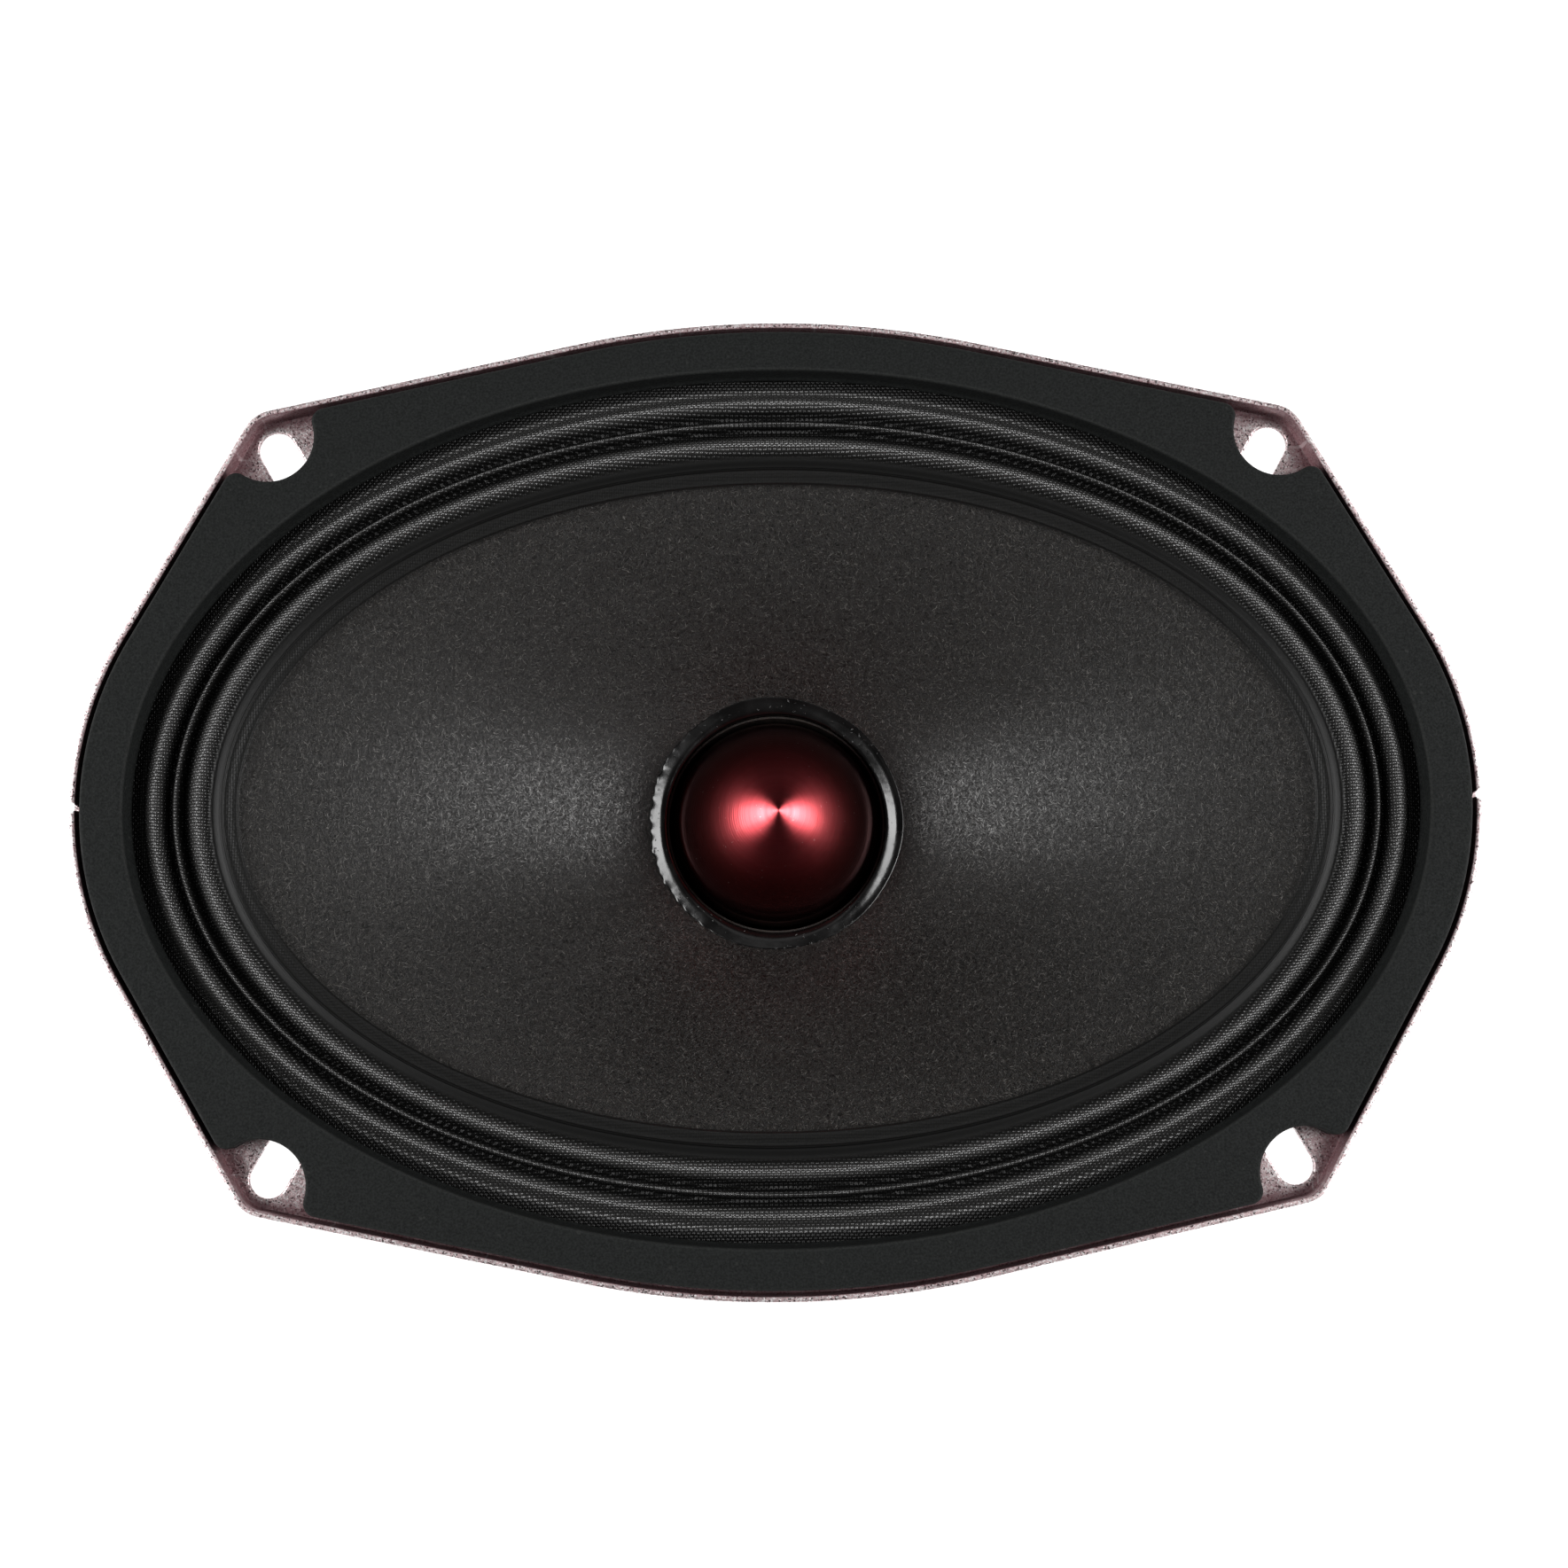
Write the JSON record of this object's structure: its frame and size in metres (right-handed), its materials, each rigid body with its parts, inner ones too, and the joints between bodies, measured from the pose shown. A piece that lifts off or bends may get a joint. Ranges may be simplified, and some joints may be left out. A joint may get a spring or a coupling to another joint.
{
  "type": "car loudspeaker",
  "caption": "Oval mid-range car loudspeaker with a pressed steel basket, paper cone, cloth surround, fixed bullet phase plug and push terminals.",
  "frame": {"origin": "centre of the flange's back face, on the axis of the voice coil", "axes": "+Z out of the front of the cone, +X along the long side of the oval, -Y towards the terminals"},
  "size_m": [0.235, 0.164, 0.0862],
  "materials": {
    "basket_paint": "metallic red stove enamel, speckled",
    "gasket_foam": "matt, fine leathery grain",
    "steel_screw": "blackened",
    "plate_steel": "zinc plated, turned",
    "ferrite": "dull, ground",
    "red_anodised": "turned and anodised deep red",
    "zinc_screw": "bright zinc",
    "block_plastic": "moulded, fine spark texture",
    "contact_brass": "tinned strip",
    "spring_steel": "bright wire",
    "red_button": "glossy",
    "black_button": "glossy",
    "surround_cloth": "doped plain weave",
    "cone_paper": "pressed pulp with fine fibres",
    "black_glue": "glossy set adhesive",
    "former_film": "amber film",
    "collar_paper": "kraft paper",
    "coil_wire": "enamelled copper, closely wound",
    "solder": "bright solder",
    "spider_cloth": "resin-dipped cotton weave",
    "tinsel_braid": "woven tinsel"
  },
  "bodies": {
    "frame": {"basket": "basket_paint", "gasket": "gasket_foam", "plate_screws": "steel_screw", "top_plate": "plate_steel", "magnet": "ferrite", "yoke": "plate_steel", "bullet": "red_anodised", "bullet_screw": "zinc_screw", "bullet_washer": "zinc_screw", "terminal_block": "block_plastic", "terminal_cover": "block_plastic", "terminal_rivets": "zinc_screw", "positive_contact": "contact_brass", "negative_contact": "contact_brass", "positive_spring": "spring_steel", "negative_spring": "spring_steel"},
    "moving_cone": {"surround": "surround_cloth", "cone": "cone_paper", "neck_glue": "black_glue", "former": "former_film", "former_collar": "collar_paper", "voice_coil": "coil_wire", "coil_leadouts": "coil_wire", "solder_joints": "solder", "spider": "spider_cloth", "spider_glue": "black_glue", "positive_lead": "tinsel_braid", "negative_lead": "tinsel_braid"},
    "red_push": {"positive_button": "red_button"},
    "black_push": {"negative_button": "black_button"}
  },
  "joints": [
    {"name": "cone_travel", "type": "slide", "parent": "frame", "child": "moving_cone", "axis": [0, 0, 1], "range_m": [-0.004, 0.004], "stiffness_N_per_m": 2500, "deforming": ["surround", "spider", "positive_lead", "negative_lead"]},
    {"name": "positive_button_press", "type": "slide", "parent": "frame", "child": "red_push", "axis": [0, 0, 1], "range_m": [0, 0.003], "stiffness_N_per_m": 400, "springref_m": -0.001, "deforming": ["positive_spring"]},
    {"name": "negative_button_press", "type": "slide", "parent": "frame", "child": "black_push", "axis": [0, 0, 1], "range_m": [0, 0.003], "stiffness_N_per_m": 400, "springref_m": -0.001, "deforming": ["negative_spring"]}
  ]
}
